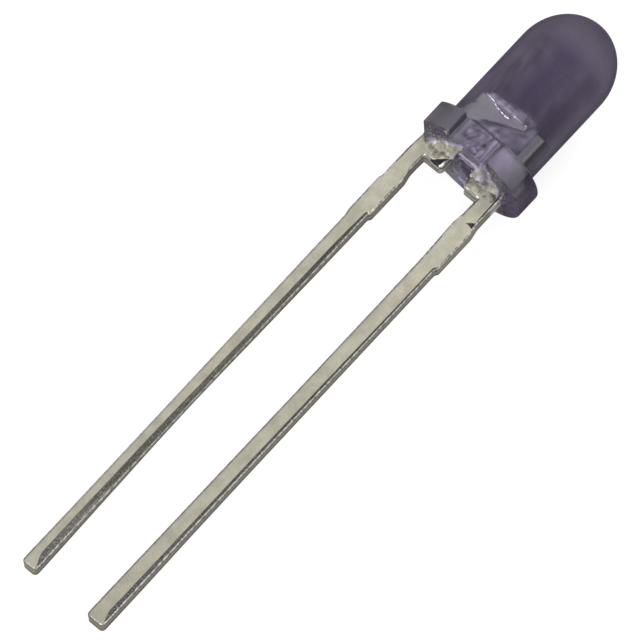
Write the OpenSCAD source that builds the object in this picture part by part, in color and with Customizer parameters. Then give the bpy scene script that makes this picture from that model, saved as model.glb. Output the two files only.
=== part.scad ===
// Photo sensor in a round moulded package with two leads, lying on its back.
//
// Every piece is drawn upright first: the lens axis is Z, the base of the moulded
// body is at z = 0, X runs from the collector to the emitter and the notch faces -Y.
// lie_down() then lays it on the collar's rim and the two lead tips, notch up.

/* [Moulded body] */
// Diameter of the lens barrel
lens_d = 3.06; // [2.9:0.02:3.2]
// Height above the base at which the barrel ends and the dome starts
barrel_top = 4.11; // [3.4:0.01:4.6]
// Height of the dome alone
dome_h = 1.72; // [1.4:0.01:2]
// Diameter of the collar
collar_d = 3.98; // [3.8:0.02:4.2]
// Height of the collar
collar_t = 0.83; // [0.7:0.01:1]
// Distance from the lens axis to the flat on the collector side
flat_reach = 1.7; // [1.68:0.01:1.85]
// Width of the notch in the collar's front
notch_w = 1.42; // [1.2:0.02:1.6]
// How far the notch's flat floor stands out of the barrel
notch_floor = 0.06; // [0.02:0.01:0.1]
// Width of the torn gate stub on the notch's floor
gate_w = 0.8; // [0.5:0.05:1]
// How far the gate stub stands out of the notch's floor
gate_out = 0.1; // [0.06:0.01:0.16]
// How far the epoxy skirt spreads from each lead's faces along the base
skirt_out = 0.3; // [0.1:0.05:0.45]
// How far the epoxy skirt runs down each lead
skirt_drop = 0.22; // [0.1:0.02:0.4]

/* [Lead frame] */
// Distance between the two leads' centres
lead_pitch = 2.54; // [2.5:0.01:2.58]
// Width of a lead, seen from the front
lead_w = 0.5; // [0.44:0.01:0.54]
// Thickness of the sheet that the leads are stamped from
lead_t = 0.5; // [0.4:0.01:0.52]
// Length of the leads below the base
lead_l = 17.4; // [8:0.1:26]
// How far the pair of leads sits off the lens axis, towards the collector side
pair_shift = 0.14; // [0:0.01:0.15]
// Corner radius of the lead tips
tip_r = 0.12; // [0.02:0.01:0.2]
// How far the cut tie bar stands out of a lead's right-hand edge
stub_right = 0.07; // [0:0.01:0.12]
// How far the cut tie bar stands out of a lead's left-hand edge
stub_left = 0.04; // [0:0.01:0.12]
// Depth below the base at which the tie-bar stubs reach their full width
stub_top = 1.5; // [1.2:0.05:2]
// Length of the tie-bar stubs
stub_l = 1.43; // [1:0.05:2]
// Gap between the two webs
web_gap = 0.8; // [0.6:0.02:1]
// How far the webs reach below the base
web_drop = 0.55; // [0.3:0.01:0.7]
// Corner radius at the foot of each web
web_r = 0.14; // [0.04:0.01:0.2]

/* [Header and post] */
// Height of the header's top above the base
header_top = 1.97; // [1.7:0.01:2.2]
// Width of the header's top
header_w = 1.19; // [1:0.01:1.3]
// Distance from the lens axis to the middle of the header
header_off = 0.205; // [0.1:0.005:0.25]
// Thickness of the header's lip over the post side
header_lip = 0.18; // [0.1:0.01:0.3]
// Height above the base at which the lip's underside meets the stem
stem_top = 1.28; // [1.1:0.01:1.4]
// Width of the stem where the lip's underside meets it
stem_w = 0.62; // [0.45:0.01:0.7]
// Thickness of the header's coined edge, front to back
pad_t = 0.74; // [0.54:0.01:0.9]
// Height of the coined edge
pad_h = 0.2; // [0.1:0.01:0.3]
// Height of the post's top above the base
post_top = 2.06; // [1.8:0.01:2.4]
// Width of the post
post_w = 0.3; // [0.2:0.01:0.35]
// Gap between the header and the post
post_gap = 0.23; // [0.2:0.01:0.3]

/* [Chip and wire] */
// Width of the square chip
chip_w = 0.46; // [0.3:0.01:0.6]
// Thickness of the chip
chip_t = 0.22; // [0.15:0.01:0.3]
// Thickness of the silver epoxy under the chip
attach_t = 0.02; // [0.01:0.005:0.04]
// How far the silver epoxy stands out around the chip
attach_rim = 0.03; // [0.01:0.005:0.05]
// Diameter of the bond wire
wire_d = 0.025; // [0.02:0.005:0.05]
// Height of the wire's loop above the straight line between its two ends
loop_rise = 0.18; // [0.12:0.01:0.35]

/* [Hidden] */
$fn = 96;

lens_r = lens_d / 2;
collar_r = collar_d / 2;
floor_reach = lens_r + notch_floor;
dome_steps = 28;
sheet_half = lead_t / 2;
// How far a cutting shape runs past what it cuts
past = 1;

// Where the gate stub sits in the notch, and how deep its root goes
gate_x = -0.04;
gate_inset = 0.06;
gate_root = 0.2;

// The skirt's thin lower edge, its root in the base, and its reach past a web's inner edge
skirt_lip = 0.02;
skirt_root = 0.1;
skirt_past = 0.06;

// X of the middle of the lead pair, and of the header
pair_x = -pair_shift;
header_x = -header_off;
header_left = header_x - header_w / 2;
header_right = header_x + header_w / 2;

// The chip sits on the lens axis
chip_x = 0;

// The webs' tops inside the body, and the slopes that lead from them to the stem and the post
shoulder_z = 0.45;
shoulder_lap = 0.1;
stem_left_z = 1.22;
stem_flare = 0.16;
stem_left = header_left - stem_flare;
stem_waist_z = 1.63;
web_inner_z = 1;
post_foot_z = 0.7;
post_foot_fall = 0.1;
post_foot_rise = 0.3;
stub_slope = 0.35;
pad_inset = 0.1;
pad_reach = 0.72;

post_left = header_right + post_gap;
post_x = post_left + post_w / 2;
chip_top = header_top + attach_t + chip_t;

// The wire's two ends, bonded as a ball on the chip and as a wedge on the post
ball_r = 1.5 * wire_d;
ball_h = 1.2 * wire_d;
wedge_l = 4.5 * wire_d;
wedge_t = wire_d;
ball_x = chip_x + chip_w / 4;

// The wire's loop is one arc between them: its chord, half sweep, radius and centre
loop_dx = post_x - ball_x;
loop_dz = post_top + wedge_t / 2 - chip_top - ball_h / 2;
chord = sqrt(loop_dx * loop_dx + loop_dz * loop_dz);
chord_angle = atan2(loop_dz, loop_dx);
half_sweep = 2 * atan(2 * loop_rise / chord);
loop_r = chord / 2 / sin(half_sweep);
loop_x = ball_x + loop_dx / 2 + (loop_r - loop_rise) * sin(chord_angle);
loop_z = chip_top + ball_h / 2 + loop_dz / 2 - (loop_r - loop_rise) * cos(chord_angle);

// The lying pose: the collar's rim and the lead tips' lower edges both touch the ground
tilt = atan((collar_r - sheet_half) / lead_l);
ground = collar_r * cos(tilt);
x_low = -lead_l * cos(tilt) - sheet_half * sin(tilt);
x_high = barrel_top * cos(tilt) + sqrt(pow(dome_h * cos(tilt), 2) + pow(lens_r * sin(tilt), 2));
mid_x = (x_low + x_high) / 2;
mid_y = (flat_reach - collar_r) / 2;

// Lays its children down from the upright drawing frame, centred over the origin
module lie_down() {
    translate([-mid_x, -mid_y, ground])
        rotate([0, 90 - tilt, 0])
            rotate([0, 0, -90])
                children();
}

// Points on an arc of radius r about (x, y), from angle a0 to angle a1
function arc(x, y, r, a0, a1, steps = 8) = [
    for (i = [0 : steps])
        let (a = a0 + (a1 - a0) * i / steps)
        [x + r * cos(a), y + r * sin(a)]
];

// Turns a front-view outline into a plate of the lead frame's sheet
module plate(t = lead_t) {
    rotate([90, 0, 0])
        linear_extrude(t, center = true)
            children();
}

// Outline of the left-hand leg with its web, from the tip to the web's top.
// stub_out and stub_in are the tie-bar stubs on its outer and inner edge.
module leg_outline(stub_out, stub_in) {
    out_x = pair_x - lead_pitch / 2 - lead_w / 2;
    in_x = out_x + lead_w;
    web_x = pair_x - web_gap / 2;
    stub_end = stub_top + stub_l;
    polygon(concat(
        arc(out_x + tip_r, -lead_l + tip_r, tip_r, 180, 270),
        arc(in_x - tip_r, -lead_l + tip_r, tip_r, 270, 360),
        [
            [in_x, -stub_end - stub_in],
            [in_x + stub_in, -stub_end],
            [in_x + stub_in, -stub_top],
            [in_x, -stub_top + stub_slope],
            [in_x, -web_drop]
        ],
        arc(web_x - web_r, -web_drop + web_r, web_r, 270, 360),
        [
            [web_x, shoulder_z],
            [out_x, shoulder_z],
            [out_x, -stub_top + stub_slope],
            [out_x - stub_out, -stub_top],
            [out_x - stub_out, -stub_end],
            [out_x, -stub_end - stub_out]
        ]
    ));
}

// Outline of the slanted stem and the header above the collector's web
module header_outline() {
    out_x = pair_x - lead_pitch / 2 - lead_w / 2;
    web_x = pair_x - web_gap / 2;
    polygon([
        [out_x, shoulder_z - shoulder_lap],
        [web_x, shoulder_z - shoulder_lap],
        [web_x, web_inner_z],
        [stem_left + stem_w, stem_top],
        [header_right, header_top - header_lip],
        [header_right, header_top],
        [header_left, header_top],
        [header_left, stem_waist_z],
        [stem_left, stem_left_z],
        [out_x, shoulder_z]
    ]);
}

// Outline of the post above the emitter's web
module post_outline() {
    web_x = pair_x + web_gap / 2;
    out_x = pair_x + lead_pitch / 2 + lead_w / 2;
    polygon([
        [web_x, shoulder_z - shoulder_lap],
        [out_x, shoulder_z - shoulder_lap],
        [out_x, shoulder_z],
        [post_left + post_w, post_foot_z + post_foot_rise],
        [post_left + post_w, post_top],
        [post_left, post_top],
        [post_left, post_foot_z],
        [web_x, post_foot_z - post_foot_fall]
    ]);
}

// The header's coined edge: a cone that swells past both faces of the sheet
module coined_edge() {
    pad_w = header_w - 2 * pad_inset;
    intersection() {
        translate([header_x, 0, header_top - pad_h])
            cylinder(h = pad_h, r1 = sheet_half, r2 = pad_reach);
        translate([header_x - pad_w / 2, -pad_t / 2, header_top - pad_h])
            cube([pad_w, pad_t, pad_h]);
    }
}

// The collector: leg, web, stem and header, stamped as one piece
module collector_solid() {
    union() {
        plate()
            leg_outline(stub_left, stub_right);
        plate()
            header_outline();
        coined_edge();
    }
}

// The emitter: leg, web and post, stamped as one piece
module emitter_solid() {
    union() {
        plate()
            translate([2 * pair_x, 0])
                mirror([1, 0])
                    leg_outline(stub_right, stub_left);
        plate()
            post_outline();
    }
}

// The film of silver epoxy between the header and the chip
module attach_solid() {
    w = chip_w + 2 * attach_rim;
    translate([chip_x - w / 2, -w / 2, header_top])
        cube([w, w, attach_t]);
}

// The silicon chip
module chip_solid() {
    translate([chip_x - chip_w / 2, -chip_w / 2, header_top + attach_t])
        cube([chip_w, chip_w, chip_t]);
}

// The bond wire with the ball on the chip and the wedge on the post
module wire_solid() {
    translate([ball_x, 0, chip_top])
        cylinder(h = ball_h, r = ball_r, $fn = 24);
    translate([loop_x, 0, loop_z])
        rotate([90, 0, 0])
            rotate([0, 0, 90 + chord_angle - half_sweep])
                rotate_extrude(angle = 2 * half_sweep)
                    translate([loop_r, 0])
                        circle(d = wire_d, $fn = 16);
    translate([post_x - wedge_l / 2, -wire_d, post_top])
        cube([wedge_l, 2 * wire_d, wedge_t]);
}

// Half section of the lens: a straight barrel under a dome that is half an ellipse
module lens_section() {
    polygon(concat(
        [[0, 0], [lens_r, 0]],
        [
            for (i = [0 : dome_steps])
                let (a = 90 * i / dome_steps)
                [lens_r * cos(a), barrel_top + dome_h * sin(a)]
        ]
    ));
}

// The collar, cut by the flat and by the notch, whose floor is flat
module collar() {
    difference() {
        cylinder(h = collar_t, r = collar_r);
        translate([-collar_r - flat_reach, -collar_r, -past])
            cube([collar_r, collar_d, collar_t + 2 * past]);
        translate([-notch_w / 2, -collar_r - past, -past])
            cube([notch_w, collar_r + past - floor_reach, collar_t + 2 * past]);
    }
}

// What is left of the gate on the notch's floor, torn off unevenly
module gate_stub() {
    w = gate_w / 2;
    linear_extrude(collar_t - 2 * gate_inset)
        polygon([
            [-w, gate_root - floor_reach],
            [-w, -floor_reach - 0.35 * gate_out],
            [-0.55 * w, -floor_reach - gate_out],
            [-0.1 * w, -floor_reach - 0.45 * gate_out],
            [0.35 * w, -floor_reach - 0.85 * gate_out],
            [w, -floor_reach - 0.3 * gate_out],
            [w, gate_root - floor_reach]
        ]);
}

// A skirt of epoxy that runs down both faces of a web from the base
module skirt(x0, x1) {
    rotate([90, 0, 90])
        translate([0, 0, x0])
            linear_extrude(x1 - x0)
                polygon([
                    [-sheet_half - skirt_out, skirt_root],
                    [-sheet_half - skirt_out, 0],
                    [-sheet_half - skirt_lip, -skirt_drop],
                    [sheet_half + skirt_lip, -skirt_drop],
                    [sheet_half + skirt_out, 0],
                    [sheet_half + skirt_out, skirt_root]
                ]);
}

// The moulded body with a cavity for every piece that it encloses
module body_solid() {
    outer_x = pair_x + lead_pitch / 2 + lead_w / 2;
    inner_x = web_gap / 2 - skirt_past;
    difference() {
        union() {
            rotate_extrude()
                lens_section();
            collar();
            translate([gate_x, 0, gate_inset])
                gate_stub();
            skirt(-flat_reach, pair_x - inner_x);
            skirt(pair_x + inner_x, outer_x);
        }
        collector_solid();
        emitter_solid();
        attach_solid();
        chip_solid();
        wire_solid();
    }
}

module lens_body() {
    color("#564d63") lie_down() body_solid();
}

module collector_lead() {
    color("#bdb9a8") lie_down() collector_solid();
}

module emitter_lead() {
    color("#bdb9a8") lie_down() emitter_solid();
}

module die_attach() {
    color("#c9c6bf") lie_down() attach_solid();
}

module sensor_chip() {
    color("#3c3a42") lie_down() chip_solid();
}

module bond_wire() {
    color("#d8b45a") lie_down() wire_solid();
}

lens_body();
collector_lead();
emitter_lead();
die_attach();
sensor_chip();
bond_wire();
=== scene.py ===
"""Dresses the photo sensor: the dark epoxy body, its stamped leads, the chip inside, and the stage."""

import math
from functools import partial

import bpy
import numpy as np
from bpy.props import FloatProperty, FloatVectorProperty, PointerProperty
from mathutils import Matrix


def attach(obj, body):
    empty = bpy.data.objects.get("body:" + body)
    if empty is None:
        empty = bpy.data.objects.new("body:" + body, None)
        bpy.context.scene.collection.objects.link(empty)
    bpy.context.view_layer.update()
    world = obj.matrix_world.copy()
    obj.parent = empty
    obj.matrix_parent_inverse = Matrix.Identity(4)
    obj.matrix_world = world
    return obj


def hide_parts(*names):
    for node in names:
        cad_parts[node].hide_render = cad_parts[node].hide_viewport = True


bl_info = {
    "name": "Photo sensor",
    "version": (1, 0, 0),
    "blender": (4, 5, 0),
    "location": "3D View > Sidebar > Photo sensor",
    "description": "Builds a moulded photo sensor with its stamped leads on a white stage",
    "category": "Mesh",
}

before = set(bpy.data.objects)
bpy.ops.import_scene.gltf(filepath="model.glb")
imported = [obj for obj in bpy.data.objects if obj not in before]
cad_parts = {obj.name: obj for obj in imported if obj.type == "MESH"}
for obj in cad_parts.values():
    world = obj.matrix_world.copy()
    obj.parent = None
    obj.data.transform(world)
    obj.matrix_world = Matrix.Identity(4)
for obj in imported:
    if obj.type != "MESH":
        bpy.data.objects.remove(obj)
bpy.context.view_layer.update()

MM = 0.001

# The lying pose. The part is worked out upright, with the lens axis along z, the base of the body at z = 0, x from
# the collector to the emitter and the notch towards -y, and is then laid down on its back.
LEAN = math.atan((1.99 - 0.25) / 17.4)
LIE_X = 5.7653 * MM
LIE_Y = 0.145 * MM
LIE_Z = 1.9801 * MM

FREE_TURN = 62  # degrees from the notch's middle beyond which the lens circle and the collar turn alike
WALL_TURN = 2.6  # degrees of the lens circle that each wall of the notch gets

# Tables of (places, values) between which np.interp draws straight lines.
# Haze of the collar's side, by the turn in degrees from the notch's middle towards the emitter: partly milkiness near
# the gate and partly a painted highlight, lightest on the block right of the notch.
BLOCK_HAZE_AND_HIGHLIGHT = ((-180, -70, -58, -30, -24, -21, 20, 22.5, 25, 31, 40, 50, 57, 59, 180),
              (0, 0.01, 0.02, 0.022, 0.012, 0, 0, 0.01, 0.16, 0.2, 0.125, 0.085, 0.065, 0, 0))
# Haze of the notch's floor, by the same turn: a plain strip, the torn gate, and two pale lines at its right.
FLOOR_HAZE = ((-27, -22.5, -21.5, -16, -13, 13, 16, 17, 18.2, 19, 20, 20.6, 21.8, 22.4, 27),
              (0, 0, 0.19, 0.18, 0.14, 0.14, 0.14, 0.26, 0.26, 0.1, 0.1, 0.26, 0.26, 0.08, 0.08))
# Painted light across the barrel, by the way across in mm: lighter towards the collector side and in a band on the
# emitter side.
BARREL_LIGHT = ((-1.5, -1.1, -0.6, -0.1, 0.12, 0.6, 0.86, 1.1), (0.02, 0.03, 0.022, 0.016, 0, 0.004, 0.02, 0))
# How much darker the tin is, by the depth below the base in mm.
DARKENING = ((1.5, 4, 10, 14, 17), (0, 0.27, 0.31, 0.37, 0.42))
# The burnished facet on a leg's right side: at these depths below the base, how far the front face stays back from
# the edge and how far the facet falls, both in mm. True is the collector's leg.
FACET_DEPTHS = (3, 4.3, 7.3, 10.2, 13, 15.9, 17)
FACETS = {True: ((0.04, 0.08, 0.057, 0.053, 0.11, 0.17, 0.18), (0.02, 0.1, 0.2, 0.31, 0.25, 0.07, 0.03)),
          False: ((0.012, 0.015, 0.038, 0.06, 0.07, 0.11, 0.12), (0.05, 0.07, 0.03, 0.02, 0.02, 0.02, 0.02))}
PLAIN_STEP = 0.052  # mm that the front face stays back from the edge elsewhere
HEADER_TOP = 1.969  # mm from the base to the header's coined edge
WEB_WIDTH = 1.12  # mm across one web
WEB_ENDS = {True: -1.66, False: 1.38}  # mm, x of each web's outer end, True for the collector's
FLAKE_X = 1.27  # mm, x of the flake of tin that is missing from the emitter's leg
NOT_HERE = 9  # mm, farther off than any point lies, where a lead has no flake

# Where the picture's middle lies from the body's base, in picture elements, and the picture's own width.
AIM_ASIDE, AIM_UP, PICTURE = 4.93, -210.57, 640
FILM_WIDTH = 36.0  # mm across the camera's film
CROWN = (0.34, -0.08, 1.0)  # the way to the brightest part of the sky
FLOOR_RADII, FLOOR_SIDES = (0.6, 0.3, 0.08), 96  # metres


def laid(points):
    """Turns upright points into the row frame: the lens axis leans up from +X by LEAN, and x becomes -Y."""
    x, y, z = points[..., 0], points[..., 1], points[..., 2]
    s, c = math.sin(LEAN), math.cos(LEAN)
    return np.stack([y * s + z * c + LIE_X, LIE_Y - x, z * s - y * c + LIE_Z], axis=-1)


def laid_way(way):
    """Turns one upright direction into the row frame."""
    x, y, z = way
    s, c = math.sin(LEAN), math.cos(LEAN)
    return np.array([y * s + z * c, -x, z * s - y * c])


def placed(x, y, z, spot):
    """The matrix that puts an object's axes along x, y and z and its origin at the spot."""
    return Matrix(np.vstack([np.stack([x, y, z, spot], axis=-1), (0, 0, 0, 1)]).tolist())


def linear(hexes):
    """An sRGB hex colour as the four linear values that a shader takes."""
    raw = np.array([int(hexes[i:i + 2], 16) for i in (1, 3, 5)]) / 255
    rgb = np.where(raw <= 0.04045, raw / 12.92, ((raw + 0.055) / 1.055) ** 2.4)
    return (*rgb.tolist(), 1.0)


def length(name, text, mm):
    """A size property, given in millimetres and kept in metres."""
    return FloatProperty(name=name, description=text, default=mm * MM, unit="LENGTH", precision=6)


def tint(name, text, hexes):
    """A colour property, given as an sRGB hex value and kept linear."""
    return FloatVectorProperty(name=name, description=text, default=linear(hexes), size=4, subtype="COLOR", min=0.0,
                               max=1.0)


class SensorBody(bpy.types.PropertyGroup):
    """Sizes and colours of the moulded body."""
    lens_d: length("Lens diameter", "Diameter of the lens barrel", 3.06)
    barrel_top: length("Barrel top", "Height at which the barrel ends and the dome starts", 4.11)
    dome_h: length("Dome height", "Height of the dome alone", 1.72)
    collar_d: length("Collar diameter", "Diameter of the collar", 3.98)
    collar_t: length("Collar height", "Height of the collar", 0.83)
    flat_reach: length("Flat reach", "Distance from the lens axis to the flat", 1.7)
    notch_w: length("Notch width", "Width of the notch in the collar's front", 1.42)
    notch_reach: length("Notch reach", "Distance from the lens axis to the notch's round floor", 1.57)
    edge_r: length("Edge radius", "Radius of the mould's corners", 0.06)
    gate_w: length("Gate width", "Width of the torn gate stub", 0.82)
    gate_out: length("Gate height", "How far the torn gate stub stands out of the notch's floor", 0.06)
    skirt_out: length("Skirt reach", "How far the epoxy creeps out from the webs along the base", 0.25)
    skirt_drop: length("Skirt drop", "How far the epoxy creeps down the webs", 0.13)
    epoxy: tint("Epoxy colour", "What the epoxy lets through at its surface", "#f4f2f6")
    # The milky colour is partly the epoxy's milkiness near the gate and partly painted light: highlights on the dome,
    # the collar's right block and the base's ridges, and light on the barrel.
    milk_and_painted_light: tint("Milky colour", "Haze near the gate, at the base and on the dome", "#d9d0ea")
    film: tint("Resin film colour", "The beige resin film on the base", "#aea998")
    bloom: tint("Bloom colour", "Tint of the gloss on the epoxy", "#cdb0ee")
    smoke: tint("Smoke colour", "What the epoxy's dye lets through", "#8672a0")
    # The skin colour is painted shade: the dark coat that keeps the epoxy's rims and edge-on faces dark.
    skin: tint("Skin colour", "The epoxy's dyed skin, seen edge-on", "#595062")


class SensorLeads(bpy.types.PropertyGroup):
    """Sizes and colours of the two stamped leads."""
    pitch: length("Lead pitch", "Distance between the two leads' centres", 2.54)
    width: length("Lead width", "Width of a lead, seen from the front", 0.5)
    sheet: length("Sheet thickness", "Thickness of the sheet that the leads are stamped from", 0.5)
    below: length("Lead length", "Length of the leads below the base", 17.4)
    shift: length("Pair shift", "How far the pair sits towards the collector side", 0.14)
    tip_r: length("Tip radius", "Corner radius of the lead tips", 0.12)
    stub_right: length("Right stub", "How far the cut tie bar stands out on a lead's right", 0.07)
    stub_left: length("Left stub", "How far the cut tie bar stands out on a lead's left", 0.04)
    stub_top: length("Stub top", "Depth at which the tie-bar stubs reach full width", 1.5)
    stub_l: length("Stub length", "Length of the tie-bar stubs", 1.43)
    web_gap: length("Web gap", "Gap between the two webs", 0.8)
    web_drop: length("Web drop", "How far the webs reach below the base", 0.55)
    web_r: length("Web radius", "Corner radius at the foot of each web", 0.14)
    roll_r: length("Roll reach", "Legs of the slanted corner of the front face at the foot of the collector's web",
                   0.38)
    tin: tint("Tin colour", "Matte tin on the rolled faces", "#b4b1a1")
    shear: tint("Sheared colour", "The torn part of the stamped edge", "#b7b3a8")
    # The burnished colour is the punch's burnished band and also painted shade: the dark reflection on the legs'
    # facets, the dark corner at the collector web's foot, the emitter's fold and the sides' back outline.
    burnish_and_shade: tint("Burnished colour", "The smooth dark band that the punch leaves", "#5f5a5e")
    # The edge colour is a painted highlight: glints on the ridge, on the nicked edges and on the webs' sides.
    glint: tint("Edge colour", "The bright ridge next to the burnished band", "#f1efe8")
    silver: tint("Silver colour", "Silver plating on the header, the post and the webs", "#eff8e1")


class SensorChip(bpy.types.PropertyGroup):
    """Colours of the chip, its film and its wire."""
    silicon: tint("Silicon colour", "The chip's sawn sides and grey-blue face", "#62626c")
    film: tint("Film colour", "Silver-filled epoxy under the chip", "#a9a6a0")
    gold: tint("Gold colour", "The bond wire", "#c9b68c")


class SensorStage(bpy.types.PropertyGroup):
    """The camera, the lamps and the floor."""
    swing: FloatProperty(name="Swing", description="Turn of the camera round the lens axis, from the notch towards "
                         "the emitter", default=math.radians(15.15), subtype="ANGLE")
    dip: FloatProperty(name="Dip", description="Angle of the camera below the body's base",
                       default=math.radians(13.83), subtype="ANGLE")
    turn: FloatProperty(name="Turn", description="Turn of the picture", default=math.radians(43.204), subtype="ANGLE")
    away: FloatProperty(name="Distance", description="Distance of the camera", default=0.4, unit="LENGTH")
    scale: FloatProperty(name="Scale", description="Picture elements to a millimetre", default=34.602)
    paper: tint("Floor colour", "The plain white floor", "#959595")
    lamp: FloatProperty(name="Lamp", description="Power of the large soft lamp", default=0.12, unit="POWER")
    spark: FloatProperty(name="Strip lamp", description="Power of the strip lamp on the leads' side", default=1.6,
                         unit="POWER")
    sky: FloatProperty(name="Sky", description="Strength of the light from all round", default=1.2)


def waves(x, y, size, seed, count=16):
    """Uneven ground between about -1 and 1: the sum of plane waves in seeded directions, each near the given size."""
    rng = np.random.default_rng(seed)
    turn, phase = rng.uniform(0, 2 * np.pi, (2, count))
    k = 2 * np.pi / (size * rng.uniform(0.6, 1.7, count))
    arg = (x[..., None] * np.cos(turn) + y[..., None] * np.sin(turn)) * k + phase
    return np.sin(arg).sum(axis=-1) / math.sqrt(count)


def smooth(x, low, high):
    """A smooth step: 3t^2 - 2t^3 of the place t of x between low and high."""
    t = np.clip((x - low) / (high - low), 0.0, 1.0)
    return t * t * (3 - 2 * t)


def bell(x, middle, width):
    """A bell: e to the minus square of the distance from the middle, counted in widths."""
    return np.exp(-((x - middle) / width) ** 2)


def ring_quads(rings, cols):
    """The four points of each cell between neighbouring closed rings, as rows of indices."""
    r, c = np.meshgrid(np.arange(rings - 1), np.arange(cols), indexing="ij")
    d = (c + 1) % cols
    return np.stack([r * cols + c, r * cols + d, (r + 1) * cols + d, (r + 1) * cols + c], axis=-1).reshape(-1, 4)


def make_mesh(name, *shells):
    """Puts closed shells into one mesh object.

    A shell is (grid, ends, uv, values). grid holds rings of points, and each ring is closed on itself. The four
    points of each cell make one face. An end is closed by one point at the ring's middle ("pole") or by one flat
    face ("face"). uv holds a pair for each ring point, and values hold named numbers for each point. If the enclosed
    volume comes out negative, every face of the shell is turned round, so the faces always look outwards.
    """
    points, faces, pairs, numbers, start = [], [], [], {}, 0
    for grid, ends, uv, values in shells:
        rings, cols = grid.shape[:2]
        flat = grid.reshape(-1, 3)
        quads = ring_quads(rings, cols)
        blocks, poles = [quads], []
        for end, first, flip in ((ends[0], 0, False), (ends[1], (rings - 1) * cols, True)):
            ring = first + np.arange(cols)
            if end == "pole":
                tris = np.stack([ring, np.full(cols, rings * cols + len(poles)), np.roll(ring, -1)], axis=-1)
                blocks.append(tris[:, ::-1] if flip else tris)
                poles.append(ring)
            else:
                blocks.append((ring if flip else ring[::-1])[None])

        def with_poles(data):
            return np.concatenate([data] + [data[ring].mean(axis=0)[None] for ring in poles])

        a, b, c, d = (flat[quads[:, k]] for k in range(4))
        volume = (np.einsum("ij,ij->i", a, np.cross(b, c)) + np.einsum("ij,ij->i", a, np.cross(c, d))).sum()
        turn = -1 if volume < 0 else 1
        for block in blocks:
            faces += (block[:, ::turn] + start).tolist()
        points.append(with_poles(flat))
        pairs.append(with_poles(uv.reshape(-1, 2)))
        for key, value in values.items():
            numbers.setdefault(key, []).append(with_poles(value.reshape(-1)))
        start += len(points[-1])
    mesh = bpy.data.meshes.new(name)
    mesh.from_pydata(np.concatenate(points).tolist(), [], faces)
    mesh.polygons.foreach_set("use_smooth", np.ones(len(faces), bool))
    for key, value in numbers.items():
        layer = mesh.attributes.new(key, "FLOAT", "POINT")
        layer.data.foreach_set("value", np.concatenate(value).astype(np.float32))
    index = np.empty(len(mesh.loops), int)
    mesh.loops.foreach_get("vertex_index", index)
    layer = mesh.uv_layers.new(name="edge")
    layer.data.foreach_set("uv", np.concatenate(pairs)[index].astype(np.float32).reshape(-1))
    mesh.update()
    piece = bpy.data.objects.new(name, mesh)
    bpy.context.collection.objects.link(piece)
    return piece


def finish_piece(piece, material, node):
    """Gives a piece its material and its body, and lets it stand for its CAD node."""
    piece.data.materials.append(material)
    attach(piece, "root")
    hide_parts(node)


def along(points):
    """Lengths from a closed line's first point to each point and back to the first."""
    step = np.linalg.norm(np.roll(points, -1, axis=0) - points, axis=1)
    return np.concatenate([[0.0], np.cumsum(step)])


def respaced(points, gap):
    """A closed line, with points spread so that neighbours are gap(x, y) apart."""
    s = along(points)
    closed = np.concatenate([points, points[:1]])
    fine = np.linspace(0, s[-1], 8000, endpoint=False)
    x, y = np.interp(fine, s, closed[:, 0]), np.interp(fine, s, closed[:, 1])
    dense = np.concatenate([[0.0], np.cumsum(1 / gap(x, y))]) * (s[-1] / len(fine))
    count = int(round(dense[-1]))
    want = np.interp(np.linspace(0, dense[-1], count, endpoint=False), dense, np.append(fine, s[-1]))
    return np.stack([np.interp(want, s, closed[:, 0]), np.interp(want, s, closed[:, 1])], axis=-1)


def rounded(points, radius):
    """A closed line with every corner rounded: each point becomes the mean of the line over a stretch of it."""
    s = along(points)
    closed = np.concatenate([points, points[:1]])
    count = int(s[-1] / (radius / 8))
    want = np.linspace(0, s[-1], count, endpoint=False)
    line = np.stack([np.interp(want, s, closed[:, 0]), np.interp(want, s, closed[:, 1])], axis=-1)
    reach = 6
    return sum(np.roll(line, k, axis=0) for k in range(-reach, reach + 1)) / (2 * reach + 1)


def body_outline(s):
    """The collar's outline and, for each of its points, an angle on the lens circle.

    The outline runs once round the axis from the middle of the notch: the notch's round floor, its wall, the arc of
    the collar, the flat, and back. Angles count from -y towards +x. On the lens circle the notch's walls get their
    own narrow share of the turn, so that no face folds over there.
    """
    big, half = s.collar_d / 2, s.notch_w / 2
    corner = math.asin(half / big)
    inner = math.asin(half / s.notch_reach)
    flat = math.acos(s.flat_reach / big)
    a = np.concatenate([
        np.linspace(corner, 1.5 * np.pi - flat, 700),
        np.linspace(1.5 * np.pi + flat, 2 * np.pi - corner, 200),
    ])
    arc = big * np.stack([np.sin(a), -np.cos(a)], axis=-1)
    b = np.linspace(0, inner, 60)
    floor = s.notch_reach * np.stack([np.sin(b), -np.cos(b)], axis=-1)
    line = rounded(np.concatenate([floor, arc, (floor * (-1, 1))[:0:-1]]), s.edge_r)

    def gap(x, y):
        front = np.where(y < -0.2 * big, 0.024, 0.05)
        return np.where((np.abs(x) < half + 0.1 * MM) & (y < -1.3 * MM), 0.018, front) * MM

    line = respaced(line, gap)
    turn = np.unwrap(np.arctan2(line[:, 0], -line[:, 1]))
    turn -= round(turn[0] / (2 * np.pi)) * 2 * np.pi
    way = along(line)[:-1]
    total = along(line)[-1]
    free = math.radians(FREE_TURN)
    s_in = s.notch_reach * inner
    s_out = s_in + big * math.cos(corner) - s.notch_reach * math.cos(inner)
    s_free = np.interp(free, turn[way > s_out][:200], way[way > s_out][:200])
    share = [0, s_in, s_out, s_free], [0, inner, inner + math.radians(WALL_TURN), free]
    angle = np.where(way < s_free, np.interp(way, *share), turn)
    angle = np.where(way > total - s_free, 2 * np.pi - np.interp(total - way, *share), angle)
    return line, np.maximum.accumulate(angle)


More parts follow.
